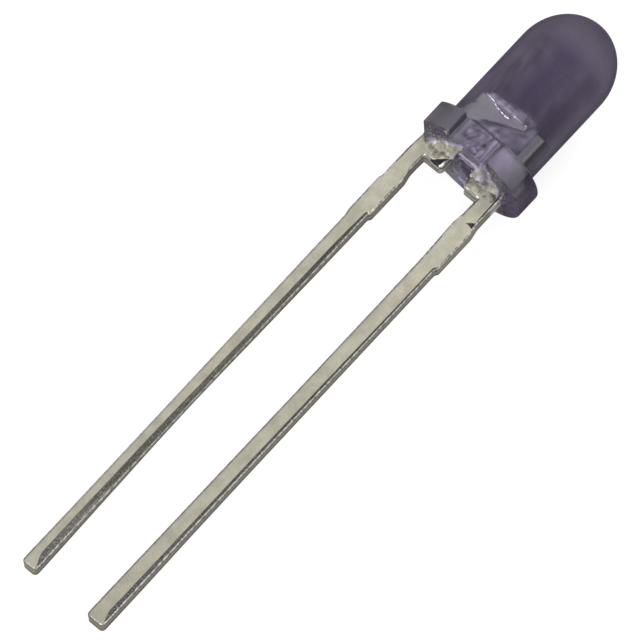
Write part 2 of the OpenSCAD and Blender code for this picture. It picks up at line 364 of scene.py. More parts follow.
def crept(x, y, leads):
    """Where the resin film that crept out of the mould covers the base at (x, y), and where its pale border runs.

    In front of each web the film fills a wedge that starts at the web's outer end and widens towards the gate. Its
    slanted border and its inner border waver.
    """
    front = -y / MM - leads.sheet / 2 / MM
    pair, gap = -leads.shift / MM, leads.web_gap / 2 / MM
    waver = 0.04 * waves(x, y, 0.3 * MM, 14)
    film, streak = np.zeros_like(x), np.zeros_like(x)
    for side, start, steep in ((-1, 1.25, 1.1), (1, 1.39, 2.0)):
        u = (x / MM - pair) * side
        way = (start - u) * steep - front + 0.6 * waver
        inside = smooth(u - gap - side * 0.27 * front + waver, -0.06, 0.03)
        parted = bell(u - 0.84 + waver, 0, 0.2) if side > 0 else 0
        film = np.maximum(film, smooth(way, -0.02, 0.1) * inside * (1 - parted))
        streak = np.maximum(streak, smooth(way, -0.14, -0.06) * smooth(-way, -0.22, -0.08) * inside)
    there = smooth(front, -0.12, -0.04) * smooth(-np.hypot(x, y), -1.93 * MM, -1.8 * MM)
    return film * there, streak * there


def skirts(x, y, s, leads):
    """How far the base stands out below z = 0 at (x, y).

    Round each web the epoxy creeps down its faces: the drop times (1 - d / reach)^1.6 of the distance d from the web.
    The resin film lies on that with a raised slanted border. A low double ridge crosses the base between the webs, a
    shallow dish lies behind it, and waves of two sizes roughen the whole.
    """
    half_t, gap = leads.sheet / 2, leads.web_gap / 2
    pair = -leads.shift
    outer = leads.pitch / 2 + leads.width / 2
    rough = waves(x, y, 0.42 * MM, 11)
    fine = waves(x, y, 0.15 * MM, 12)
    drop = np.zeros_like(x)
    for low, high in ((pair - outer, pair - gap), (pair + gap, pair + outer)):
        d = np.hypot(np.maximum(np.maximum(low - x, x - high), 0), np.maximum(np.abs(y) - half_t, 0))
        reach = s.skirt_out * (1 + 0.25 * rough)
        drop = np.maximum(drop, np.clip(1 - d / reach, 0, 1) ** 1.6 * s.skirt_drop * (1 + 0.2 * rough))
    film = crept(x, y, leads)[0]
    drop = drop + film * (0.02 + 0.016 * fine + 0.012 * rough) * MM + film * (1 - film) * 0.16 * MM
    middle = smooth(-np.abs(x - 0.1 * MM), -0.5 * MM, -0.36 * MM) * (1 - film)
    ridge = bell(y, -0.93 * MM, 0.07 * MM) + 0.7 * bell(y, -0.63 * MM, 0.06 * MM)
    dish = smooth(-np.abs(y - 0.35 * MM), -1.0 * MM, -0.5 * MM) * middle
    uneven = (0.005 * fine + 0.008 * rough) * MM
    fore = 2 * (1 - film) * smooth(-y, 0.15 * MM, 0.4 * MM) * (1 - middle)
    edge = smooth(-np.hypot(x, y), -1.9 * MM, -1.7 * MM) * (1 + fore)
    return drop + ridge * middle * 0.06 * MM - dish * 0.06 * MM + uneven * edge


def milk_and_painted_light_share(grid, s, leads):
    """How much of the light the epoxy's skin scatters back, from 0 to 1, at each point of the body.

    Near the gate the epoxy is milky, most on the block at the notch's right, less on the one at its left, and hardly
    at all on the far side; on the block at the right this also carries a painted highlight. The torn gate is
    whitened, the ridges on the base carry painted highlights, the dome's top a faint painted highlight, and the
    barrel's front
    painted light: glints and reflections of what lies inside, a highlight over the gate and light across the barrel.
    """
    x, y, z = grid[..., 0], grid[..., 1], grid[..., 2]
    r = np.hypot(x, y)
    turn = np.degrees(np.arctan2(x, -y))
    block = np.interp(turn, *BLOCK_HAZE_AND_HIGHLIGHT)
    # Partly a painted highlight: lighter higher up the collar, fading at its top edge, and cut away at the block's
    # upper corner beside the notch.
    block = block * (0.7 + 0.4 * smooth(z, 0.1 * MM, 0.55 * MM)) * (1 - 0.6 * smooth(z, 0.68 * MM, 0.76 * MM))
    unrolled = turn / 20 * MM
    block = block * (1 + 0.12 * waves(unrolled, z, 0.3 * MM, 32) + 0.1 * waves(unrolled, z / 4, 0.08 * MM, 34))
    corner = np.hypot((turn - 21) / 25, z / MM - 0.8)
    block = block * np.where(turn > 0, smooth(corner, 0.1, 0.24), 1)
    floor = np.interp(turn, *FLOOR_HAZE)
    streak = 0.6 * waves(x, z * 1.1 - x * 0.5, 0.26 * MM, 31) + 0.45 * waves(x, z * 1.1 - x * 0.8, 0.14 * MM, 36)
    torn = smooth(-np.abs(turn + 1), -19, -15) + 0.6 * smooth(-z, -0.4 * MM, -0.2 * MM)
    # To the right of the gate a pale slanted streak runs up beside a dark one.
    lean = turn - 5 * z / MM
    floor = floor + 0.1 * bell(lean, 12.5, 1.7) - 0.07 * bell(lean, 8.5, 1.5)
    floor = floor + np.clip(torn, 0, 1) * np.clip(0.07 * streak, -0.12, 0.2)
    wall = smooth(r, s.notch_reach + 0.03 * MM, s.notch_reach + 0.07 * MM)
    side = np.where(r > s.collar_d / 2 - 0.07 * MM, block, floor * (1 - wall))
    side = np.where(np.abs(turn) > 30, block, side)
    base = 0.035 + 0.04 * waves(x, y, 0.35 * MM, 33) + 0.2 * smooth(y, 1.25 * MM, 1.6 * MM)
    middle = smooth(-np.abs(x - 0.13 * MM), -0.45 * MM, -0.33 * MM)
    # Pale stripes along the base's two ridges: painted highlights.
    stripes = bell(y, -0.93 * MM, 0.09 * MM) + 0.6 * bell(y, -0.63 * MM, 0.07 * MM)
    base = base + middle * stripes * 0.62
    # The film's slanted borders are pale, and two pale wedges with sharp tips lie between the webs.
    base = base + 0.27 * crept(x, y, leads)[1]
    base = base + 0.12 * smooth(-y, 1.05 * MM, 1.2 * MM) * smooth(-np.abs(x), -0.75 * MM, -0.6 * MM)
    # A few white crumbs of resin lie at the collector side, the largest at the corner of the left block.
    crumbs = smooth(waves(x, y, 0.09 * MM, 38), 1.5, 1.9) * smooth(-x, 0.8 * MM, 0.95 * MM)
    crumbs = np.maximum(crumbs, smooth(-np.hypot(x + 0.8 * MM, y + 1.65 * MM), -0.075 * MM, -0.04 * MM))
    base = base + 0.6 * crumbs
    u, v = x / MM, y / MM
    wedge = np.maximum(np.abs(v + 0.05 + 0.27 * u) - 0.16 - 0.6 * np.clip(u, -0.3, 0.2),
                       np.abs(0.27 * v + u - 0.25) - 0.35)
    tail = np.maximum(np.abs(v - 1.42 - 0.27 * u) - 0.14 - 0.35 * (u + 0.3), np.abs(u + 0.28) - 0.32)
    base = base + 0.4 * smooth(-np.minimum(wedge, tail), -0.02, 0.08)
    below = smooth(-z, -0.04 * MM, -0.01 * MM)
    collar = smooth(z, 0.01 * MM, 0.05 * MM) * smooth(-z, -s.collar_t, -s.collar_t + 0.03 * MM)
    # On the barrel, painted light: a lit patch below the header's slope, painted glints of the die beside the post,
    # a painted reflection above the header's bead, and a thin painted highlight over the gate.
    a = z / MM
    under = smooth(1.08 + 0.68 * u + 2 * np.clip(u - 0.85, 0, 1) - a, -0.05, 0.12) * smooth(u, -0.2, 0.05)
    under = under * smooth(-u, -1.14, -1.0) * smooth(-a, -1.95, -1.75)
    barrel_painted_light = 0.1 * under * (1 + 0.5 * waves(x, z, 0.3 * MM, 35))
    barrel_painted_light = barrel_painted_light + 0.09 * np.exp(-((u - 0.6) / 0.3) ** 2 - ((a - 1.92) / 0.09) ** 2) * (1 + waves(x, z, 0.12 * MM, 37))
    above_bead = smooth(a, 1.70, 1.73) * smooth(-a, -1.86, -1.82) * smooth(u, -0.9, -0.75) * smooth(-u, -0.7, -0.4)
    barrel_painted_light = barrel_painted_light + 0.19 * above_bead * (1 + 0.5 * waves(x, z, 0.2 * MM, 41))
    barrel_painted_light = barrel_painted_light + 0.13 * bell(a, 0.95, 0.022) * smooth(-np.abs(turn + 3), -26, -16)
    # Painted light across the barrel, broken into faint streaks that rise from the gate.
    flow = np.interp(u, *BARREL_LIGHT)
    flow = flow * (1 + 0.5 * waves(x, z / 4, 0.22 * MM, 39)) * smooth(-a, -4.6, -3.9)
    barrel_painted_light = (barrel_painted_light + flow) * smooth(-v, 0.2, 0.6) * smooth(a, 0.86, 0.92)
    # The dome's top is painted lighter: a faint painted highlight.
    dome = 0.045 * smooth(z, s.barrel_top - 0.1 * MM, s.barrel_top + 0.6 * MM)
    return np.clip(base * below + side * collar + dome + barrel_painted_light, 0, 1)


def edge_shade_mask_at(grid, s):
    """Where painted shade darkens the epoxy once it is seen edge-on, from 0 to 1.

    The barrel and the dome, the notch's left wall, the collar's emitter end, and the base outside the two webs.
    """
    x, y, z = grid[..., 0], grid[..., 1], grid[..., 2]
    r, turn = np.hypot(x, y), np.degrees(np.arctan2(x, -y))
    lens = smooth(z, s.collar_t + 0.02 * MM, s.collar_t + 0.1 * MM)
    collar = smooth(z, 0, 0.04 * MM) * smooth(-z, -s.collar_t - 0.01 * MM, -s.collar_t)
    wall = smooth(r, s.notch_reach + 0.01 * MM, s.notch_reach + 0.05 * MM) * (r < s.collar_d / 2 - 0.03 * MM)
    wall = wall * smooth(-np.abs(turn + 24), -4.5, -3.5)
    end = smooth(turn, 58.5, 60.5)
    base = (z < 0.01 * MM) * np.maximum(smooth(x, 1.25 * MM, 1.4 * MM), smooth(-x, 0.8 * MM, 0.95 * MM))
    return np.clip(lens + collar * np.maximum(wall, end) + base, 0, 1)


def body_grid(s, leads):
    """The whole moulded body as rings of points, from the middle of the base to the tip of the dome.

    Base: circles that grow to the lens circle, then lines that run out to the collar's outline. Collar: the outline
    carried straight up between two quarter-round edges. Shoulder: lines back in to the lens circle. Barrel: that
    circle carried up. Dome: half an ellipse, radius r cos(t) and height h sin(t).
    """
    line, angle = body_outline(s)
    lens = s.lens_d / 2
    ring = np.stack([np.sin(angle), -np.cos(angle)], axis=-1)
    tangent = np.roll(line, -1, axis=0) - np.roll(line, 1, axis=0)
    out = np.stack([tangent[:, 1], -tangent[:, 0]], axis=-1) / np.linalg.norm(tangent, axis=1)[:, None]
    floor = smooth(-np.hypot(line[:, 0], line[:, 1]), -s.notch_reach - 0.07 * MM, -s.notch_reach - 0.02 * MM)
    e = (0.045 - 0.038 * floor) * MM
    rings, frost = [], []

    def add(xy, z, dull):
        rings.append(np.concatenate([xy, np.broadcast_to(z, (len(line),))[:, None]], axis=1))
        frost.append(np.full(len(line), dull))

    inset = line - out * e[:, None]
    for k in np.linspace(0.012, 1, 62) ** 0.9:
        xy = ring * lens * k
        add(xy, -skirts(xy[:, 0], xy[:, 1], s, leads), 0.7)
    for k in np.linspace(0, 1, 16)[1:]:
        xy = ring * lens * (1 - k) + inset * k
        fall = skirts(xy[:, 0], xy[:, 1], s, leads)
        add(xy, -fall * (1 - k) ** 0.3 if k < 1 else 0.0, 0.7)
    for a in np.radians([18, 36, 54, 72]):
        add(inset + out * e[:, None] * math.sin(a), e * (1 - math.cos(a)), 0.85)
    x = line[:, 0]
    torn = floor * smooth(-np.abs(x + 0.02 * MM), -s.gate_w / 2 - 0.03 * MM, -s.gate_w / 2 + 0.05 * MM)
    for z in np.linspace(e, s.collar_t - e, 40):
        rise = smooth(z, 0.06 * MM, 0.2 * MM) * smooth(-z, -s.collar_t + 0.05 * MM, -s.collar_t + 0.2 * MM)
        rough = 0.6 + 0.16 * waves(x, z, 0.26 * MM, 21) + 0.1 * waves(x * 1.2, z * 0.6 - x * 0.6, 0.13 * MM, 22)
        add(line + out * (torn * rise * s.gate_out * np.clip(rough, 0, 1.3))[:, None], z, 1.0)
    for a in np.radians([18, 36, 54, 72, 90]):
        add(inset + out * e[:, None] * math.cos(a), s.collar_t - e * (1 - math.sin(a)), 0.8)
    foot = ring * (lens + e)[:, None]
    for k in np.linspace(0, 1, 8)[1:]:
        add(inset * (1 - k) + foot * k, s.collar_t, 0.6 - 0.5 * k)
    for a in np.radians([30, 60, 90]):
        add(ring * (lens + e * (1 - math.sin(a)))[:, None], s.collar_t + e * (1 - math.cos(a)), 0.1)
    low = s.barrel_top - 1.5 * MM
    for z in np.linspace(s.collar_t + e, s.barrel_top, 34)[1:]:
        add(ring * lens, z, 0.9 * smooth(z, low, low + 1.8 * MM))
    for t in np.radians(np.linspace(0, 89.2, 44))[1:]:
        z = s.barrel_top + s.dome_h * math.sin(t)
        add(ring * lens * math.cos(t), z, 0.9 * smooth(z, low, low + 1.8 * MM))
    return np.array(rings), np.array(frost)


def lead_outline(s, left):
    """Front outline of one lead as corner points, from the tip's left corner round by the right.

    Each point has x, z and the two parts of a roll: how much further the punch pulled the front face in at the foot
    of the web, where its corner is cut off by a slanted line. It is drawn as the left-hand lead. The other one is its
    mirror image about the middle of the pair, with its own stubs and a post in place of the header.
    """
    pair = -s.shift
    out_x = pair - s.pitch / 2 - s.width / 2
    in_x = out_x + s.width
    web_x = pair - s.web_gap / 2
    tip = -s.below
    low = -s.stub_top - s.stub_l
    stub_in, stub_out = (s.stub_right, s.stub_left) if left else (s.stub_left, s.stub_right)
    a = np.radians(np.linspace(0, 90, 9))
    arc = np.stack([np.sin(a), 1 - np.cos(a)], axis=-1)
    tip_left = np.array([out_x, tip]) + s.tip_r * np.stack([1 - np.cos(a), 1 - np.sin(a)], axis=-1)
    tip_right = np.array([in_x - s.tip_r, tip]) + s.tip_r * arc
    foot = np.array([web_x - s.web_r, -s.web_drop]) + s.web_r * arc
    share = np.linspace(0, 1, 9)
    roll = left * (s.roll_r * np.stack([share - 1, share], axis=-1) - s.web_r * (arc - (1, 0)))
    rise = 0.35 * MM
    if left:
        inner = [[in_x, low - stub_in], [in_x + stub_in, low]]
        outer = [[out_x, -1.83 * MM], [out_x - stub_out, -1.86 * MM], [out_x - stub_out, low - 0.35 * MM],
                 [out_x, low - 0.38 * MM]]
        top = np.array([[-0.54, 1.0], [-0.34, 1.28], [0.39, 1.79], [0.39, 1.97], [-0.8, 1.97], [-0.8, 1.63],
                        [-0.96, 1.22], [-1.66, 0.45]]) * MM
    else:
        inner = [[in_x, low], [in_x + stub_in, -s.stub_top - 0.25 * MM]]
        outer = [[out_x, rise - s.stub_top], [out_x - stub_out, -s.stub_top], [out_x - stub_out, low],
                 [out_x, low - stub_out]]
        top = np.array([[-0.54, 0.95], [-0.9, 1.02], [-0.9, 2.06], [-1.2, 2.06], [-1.2, 1.1], [-1.66, 0.6]]) * MM
    inner += [[in_x + stub_in, -s.stub_top], [in_x, rise - s.stub_top], [in_x, -s.web_drop]]
    before = np.concatenate([tip_left, tip_right, inner])
    line = np.concatenate([before, foot, top, outer])
    pulled = np.zeros_like(line)
    pulled[len(before):len(before) + len(foot)] = roll
    line = np.concatenate([line, pulled], axis=1)
    if not left:
        line = (line * (-1, 1, -1, 1) + (2 * pair, 0, 0, 0))[::-1]
    return line


def strayed(line, left):
    """A lead's outline with each leg's two sides moved a little, as the real legs aren't quite straight."""
    x, z = line[:, 0] / MM, line[:, 1] / MM
    down = [-17.4, -16, -15, -13.5, -11, -8, -5, -0.7, -0.3]
    if left:
        outer = np.interp(z, down, [-0.01, -0.006, -0.006, -0.01, -0.02, -0.033, -0.05, -0.055, -0.03])
        inner = np.interp(z, [-17.4, -16.4, -15.2, -13.7, -12.2, -10.7, -9.2, -8, -6.9, -5, -0.7, -0.3],
                          [0.02, 0, -0.028, -0.058, -0.091, -0.11, -0.102, -0.086, -0.078, -0.057, -0.035, 0])
        move = np.where(x < -1.41, outer, np.where(x < -1.0, inner, 0))
    else:
        inner = np.interp(z, down, [-0.06, -0.057, -0.055, -0.05, -0.045, -0.035, -0.036, -0.04, 0])
        outer = np.interp(z, down, [0.06, 0.05, 0.04, 0.02, 0.005, 0, 0, 0, 0])
        move = np.where(x > 1.13, outer, np.where(x > 0.7, inner, 0))
    line = line.copy()
    line[:, 0] += move * (z < -0.2) * MM
    return line


def plate_grid(corners, thick, step, gap, seed):
    """A stamped plate: one profile carried round its outline.

    step(x, z) says how far the flat front face stays back from the outline, and how far the burnished facet falls
    from there to a thin bright ridge. Behind a small chamfer the side goes straight back. It is torn and slightly
    hollow in its last third and ends in a rounded back edge, with a burr that hangs down at the web's foot. A ring
    of the profile that lies d inside the outline has each corner moved by d times its miter vector
    (a + b) / (1 + a.b), where a and b are the normals of the two edges that meet there, and by its share of the
    corner's roll. The points between two corners keep their shares of the edge, and a short running mean rounds the
    corners off.
    """
    pulled, corners = corners[:, 2:], corners[:, :2]
    ahead = np.roll(corners, -1, axis=0) - corners
    size = np.linalg.norm(ahead, axis=1)
    ahead = ahead / size[:, None]
    after = np.stack([-ahead[:, 1], ahead[:, 0]], axis=-1)
    before = np.roll(after, 1, axis=0)
    miter = (after + before) / np.maximum(1 + np.einsum("ij,ij->i", after, before), 0.35)[:, None]
    mid = corners + ahead * size[:, None] / 2
    count = np.maximum(1, np.round(size / gap(mid[:, 0], mid[:, 1]))).astype(int)
    edge = np.repeat(np.arange(len(corners)), count)
    share = (np.arange(count.sum()) - np.repeat(np.cumsum(count) - count, count)) / count[edge]
    following = (edge + 1) % len(corners)

    def spread(values):
        t = share[:, None] if values.ndim > 1 else share
        return values[edge] * (1 - t) + values[following] * t

    def eased(values):
        return sum(k * np.roll(values, n, axis=0) for n, k in zip(range(-2, 3), (0.1, 0.2, 0.4, 0.2, 0.1)))

    line, miter, (w, fall) = eased(spread(corners)), spread(miter), spread(step(corners[:, 0], corners[:, 1])).T
    pulled = spread(pulled)
    way = along(line)
    s = way[:-1]
    total = way[-1]
    z = line[:, 1]
    h = thick / 2
    rng = np.random.default_rng(seed)

    def jitter(size):
        n = max(8, int(total / size))
        knots = rng.uniform(-1, 1, n)
        return np.interp(s, np.linspace(0, total, n + 1), np.append(knots, knots[0]))

    near = smooth(z, -2.95 * MM, -2.75 * MM) * smooth(-z, 0.1 * MM, 0.5 * MM)
    chip = (0.004 + 0.02 * near) * MM
    j1, j2, j3 = jitter(0.07 * MM), jitter(0.11 * MM), jitter(0.16 * MM)
    drop = (0.004 + 0.026 * smooth(w, 0.055 * MM, 0.1 * MM)) * (1 + 0.3 * j3) * MM + fall
    um = MM / 1000
    burr = 30 * um * smooth(-z, 0.42 * MM, 0.52 * MM) * smooth(z, -0.75 * MM, -0.6 * MM)
    low = h - drop - 66 * um
    # Each entry: the inset, the depth from the sheet's middle, the zone of the edge, the shares of roll and burr.
    profile = [
        (w + 36 * um, h, 0.0, 1.0, 0),
        (w + 10 * um + chip * (0.5 + 0.5 * j1), h, 0.03, 1.0, 0),
        (w + 3 * um + chip * (0.4 + 0.5 * j1), h - 3 * um, 0.07, 1.0, 0),
        (w - 1 * um + chip * (0.3 + 0.4 * j2), h - 10 * um, 0.12, 0.97, 0),
        (0.5 * w + 22 * um, h - 0.5 * drop, 0.20, 0.6, 0),
        (44 * um + chip * (0.2 + 0.5 * j2), h - drop, 0.29, 0.2, 0),
        (19 * um + chip * (0.3 + 0.4 * j1), h - drop - 15 * um, 0.34, 0.03, 0),
        (6 * um, h - drop - 36 * um, 0.38, 0, 0),
        (0 * um, h - drop - 66 * um, 0.42, 0, 0),
        (0 * um, np.minimum(0.02 * MM, low - 10 * um), 0.58, 0, 0),
        (4 * um, np.minimum(-0.03 * MM + 12 * um * j3, low - 20 * um), 0.66, 0, 0.1),
        (11 * um + 4 * um * j1, np.minimum(-0.09 * MM, low - 30 * um), 0.74, 0, 0.3),
        (12 * um + 4 * um * j2, np.minimum(-0.16 * MM, low - 40 * um), 0.82, 0, 0.6),
        (3 * um, -h + 28 * um, 0.90, 0, 1),
        (2 * um, -h + 8 * um, 0.93, 0, 1),
        (9 * um, -h, 0.96, 0, 0.8),
        (36 * um, -h, 1.0, 0, 0),
    ]
    rings, uvs = [], []
    for inset, depth, zone, roll, hang in profile:
        xz = eased(line + miter * (inset + 0 * w)[:, None] + pulled * roll)
        rings.append(np.stack([xz[:, 0], -(depth + 0 * w), xz[:, 1] - burr * hang], axis=-1))
        uvs.append(np.stack([np.full_like(s, zone), s / MM], axis=-1))
    return np.array(rings), np.array(uvs)


def pad_grid(top, half_t):
    """The header's coined edge: a wedge of metal that the coining pushed out past both faces of the sheet.

    Its cross-section is carried along x. At each x it starts at the height low(x) on the sheet's face, with a small
    bead there, leans out to the reach out(x) at the top, turns over a lip, and comes back on the other face.
    """
    u = np.linspace(-0.72, 0.385, 90)
    low = top - MM * (np.interp(u, [-0.72, -0.62, -0.5, -0.35, -0.19, -0.06, -0.02, 0.01, 0.1, 0.3, 0.385],
                                [0.012, 0.035, 0.1, 0.19, 0.235, 0.235, 0.215, 0.06, 0.045, 0.06, 0.02])
                      + 0.006 * waves(u, 0 * u, 0.1, 41))
    out = MM * (np.interp(u, [-0.72, -0.6, -0.3, -0.05, 0.02, 0.12, 0.25, 0.36, 0.385],
                          [0.004, 0.09, 0.12, 0.12, 0.05, 0.03, 0.07, 0.06, 0.004])
                * (1 + 0.1 * waves(u, 0 * u, 0.13, 42)))
    tall = top - low
    bead = np.minimum(0.038 * MM, 0.45 * tall)
    one = np.ones_like(u)
    half = [
        (half_t * one - 0.05 * MM, low, 0.0), (half_t + 0.004 * MM * one, low, 0.36),
        (half_t + 0.004 * MM + 0.07 * bead, low + 0.2 * bead, 0.36),
        (half_t + 0.004 * MM + 0.25 * bead, low + 0.8 * bead, 0.36),
        (half_t + 0.004 * MM + 0.3 * bead, low + bead, 0.38),
        (half_t + 0.5 * out, low + 0.45 * tall, 0.5), (half_t + 0.9 * out, top - 0.15 * tall, 0.55),
        (half_t + out, top - 0.08 * tall, 0.36), (half_t + 0.9 * out, top - 0.01 * MM * one, 0.37),
        (half_t - 0.03 * MM * one, top, 0.0), (0.4 * half_t * one, top, 0.0),
    ]
    columns = half + [(-y, z, zone) for y, z, zone in half[::-1]]
    grid = np.stack([np.stack([u * MM, -y, z + 0 * u], axis=-1) for y, z, zone in columns], axis=1)
    uv = np.stack([np.stack([np.full_like(u, zone), u], axis=-1) for y, z, zone in columns], axis=1)
    return grid, uv


def lead_values(grid, left, falls):
    """The named numbers of a lead's points, for its material.

    rise is the way up from the base in mm, and gate the way in from the web's outer end to the gate as a share of the
    web's width. Both are linear in place, so they hold across the large flat faces too. foot is gate on the
    collector's web alone. wear says how much darker the leg's tin is, steep how far its facet falls, lift how far the
    resin film reaches down, and scar how far a point lies from the emitter's flake, in mm across.
    """
    across, rise = grid[..., 0] / MM, grid[..., 2] / MM
    gate = (across - WEB_ENDS[True] if left else WEB_ENDS[False] - across) / WEB_WIDTH
    return {
        "rise": rise, "gate": gate,
        "darkening": np.interp(-rise, *DARKENING),
        "steep": np.clip(np.interp(-rise, FACET_DEPTHS, falls) / 0.2, 0, 1),
        "foot": gate if left else np.full_like(gate, 0.3),
        "lift": 0.3 * gate - 0.03 if left else 0.23 - 0.08 * gate,
        "scar": across - (NOT_HERE if left else FLAKE_X),
    }


def lead_gap(x, z):
    """Spacing of a lead's outline points: fine at the body and the stubs, coarser down the long legs."""
    close = smooth(z, -3.4 * MM, -3.0 * MM)
    tip = smooth(-z, 16.9 * MM, 17.2 * MM)
    return (0.055 - 0.037 * np.maximum(close, tip)) * MM


def split(line, most):
    """A closed line with points added so that no edge is longer than most."""
    ahead = np.roll(line, -1, axis=0) - line
    count = np.ceil(np.linalg.norm(ahead[:, :2], axis=1) / most).astype(int)
    edge = np.repeat(np.arange(len(line)), count)
    share = (np.arange(count.sum()) - np.repeat(np.cumsum(count) - count, count)) / count[edge]
    return line[edge] + ahead[edge] * share[:, None]


def add_node(tree, kind, values=None, links=None, stops=(), **settings):
    """Adds one shader node: its own settings, its sockets' constants, its ramp's stops, and what feeds its sockets.

    A link's source is a socket, or a node that stands for its first output in use. A stop is a place and a colour,
    or a place and a number that stands for a grey.
    """
    node = tree.nodes.new("ShaderNode" + kind)
    for key, value in settings.items():
        setattr(node, key, value)
    for key, value in (values or {}).items():
        node.inputs[key].default_value = value
    for key, source in (links or {}).items():
        if isinstance(source, bpy.types.Node):
            source = next(socket for socket in source.outputs if socket.enabled)
        tree.links.new(source, node.inputs[key])
    for k, (place, colour) in enumerate(stops):
        if k > 1:
            node.color_ramp.elements.new(place)
        node.color_ramp.elements[k].position = place
        node.color_ramp.elements[k].color = grey(colour) if isinstance(colour, float) else colour
    return node


def new_material(name, shown):
    """An empty node material, and add_node for its tree. shown is the colour that a plain view gives it."""
    material = bpy.data.materials.new(name)
    material.use_nodes = True
    material.diffuse_color = shown
    material.node_tree.nodes.clear()
    return material, partial(add_node, material.node_tree)


def per_mm(size):
    """The scale of a pattern whose features are that many millimetres apart, on coordinates in metres."""
    return 1 / (size * MM)


def scaled(colour, factor):
    """A colour times a factor, held at 1 at most."""
    return tuple(min(part * factor, 1.0) for part in colour[:3]) + (1.0,)


def grey(v):
    """A grey of the given linear value."""
    return (v, v, v, 1.0)


def smoky_epoxy(s):
    """Transfer-moulded optical epoxy with a visible-blocking dye, released from a fine-sparked mould.

    The eye gets a dark violet that is see-through for a millimetre or so, with a soft, slightly milky gloss. Faint
    flow clouds from the gate lie in it, and the mould's grain breaks up its highlights.
    """
    material, add = new_material("Smoky violet epoxy, transfer moulded", s.epoxy)
    milk_and_painted_light, film, frost, edge_shade_mask = (add("Attribute", attribute_name=name).outputs["Fac"]
                               for name in ("milk_and_painted_light", "film", "frost", "edge_shade_mask"))
    place = add("TexCoord").outputs["Object"]
    clouds, grain, spots = (
        add("TexNoise", {"Scale": per_mm(size), "Detail": detail, "Roughness": fine}, {"Vector": place})
        for size, detail, fine in ((1.1, 3.0, 0.5), (0.09, 4.0, 0.65), (0.2, 4.0, 0.7)))
    clear = add("ValToRGB", links={"Fac": clouds}, stops=[(0.3, scaled(s.epoxy, 0.86)), (0.7, scaled(s.epoxy, 1.14))])
    # Where the milky share says, the skin turns milky and scatters light in place of passing it. This is partly
    # milkiness
    # near the gate and partly painted light: painted highlights on the dome, the collar's right block and the base's
    # ridges, and painted light on the barrel.
    milky = add("MapRange", {"From Max": 0.15}, {"Value": milk_and_painted_light})
    pale = add("Mix", {7: tuple(s.milk_and_painted_light)}, {0: milky, 6: clear}, data_type="RGBA")
    # The resin film on the base is mottled from dark violet through beige to white.
    stain = add("ValToRGB", links={"Fac": spots}, stops=[
        (0.34, scaled(s.film, 0.2)), (0.44, scaled(s.film, 0.75)), (0.56, s.film), (0.68, 0.7),
    ])
    colour = add("Mix", links={0: film, 6: pale, 7: stain}, data_type="RGBA")
    hidden = add("Math", {1: 0.85}, {0: film, 2: milk_and_painted_light}, operation="MULTIPLY_ADD")
    passing = add("Math", {0: 1.0}, {1: hidden}, operation="SUBTRACT", use_clamp=True)
    # The collar and the base are dull from the mould's sparked steel, the lens is polished.
    polish = add("MapRange", {"From Min": 0.3, "From Max": 0.7, "To Min": 0.04, "To Max": 0.05}, {"Value": grain})
    rough = add("Math", {1: 0.26}, {0: frost, 2: polish}, operation="MULTIPLY_ADD")
    lumps = add("Math", {1: 3.0}, {0: spots}, operation="MULTIPLY")
    dull = add("Math", links={0: grain, 1: frost}, operation="MULTIPLY")
    crust = add("Math", links={0: lumps, 1: film, 2: dull}, operation="MULTIPLY_ADD")
    bump = add("Bump", {"Strength": 0.2, "Distance": 0.0016 * MM}, {"Height": crust})
    shader = add("BsdfPrincipled", {"IOR": 1.55, "Specular Tint": tuple(s.bloom)},
                 {"Base Color": colour, "Roughness": rough, "Transmission Weight": passing, "Normal": bump})
    # Painted shade: where the mask allows it, and the more so the more edge-on the surface is seen, a dark diffuse
    # coat is mixed in, so the rims, the notch's left wall, the collar's emitter end and the base outside the webs
    # stay dark.
    slant = add("LayerWeight", {"Blend": 0.5}).outputs["Facing"]
    edge_on = add("MapRange", {"From Min": 0.28, "From Max": 0.65, "To Max": 0.85}, {"Value": slant})
    share = add("Math", links={0: edge_on, 1: edge_shade_mask}, operation="MULTIPLY", use_clamp=True)
    dusky = add("ValToRGB", links={"Fac": clouds}, stops=[(0.3, scaled(s.skin, 0.8)), (0.7, scaled(s.skin, 1.2))])
    skin = add("BsdfDiffuse", links={"Color": dusky, "Normal": bump})
    whole = add("MixShader", links={0: share, 1: shader, 2: skin})
    dye = add("VolumeAbsorption", {"Color": tuple(s.smoke), "Density": 1 / (1.5 * MM)})
    add("OutputMaterial", links={"Surface": whole, "Volume": dye})
    return material


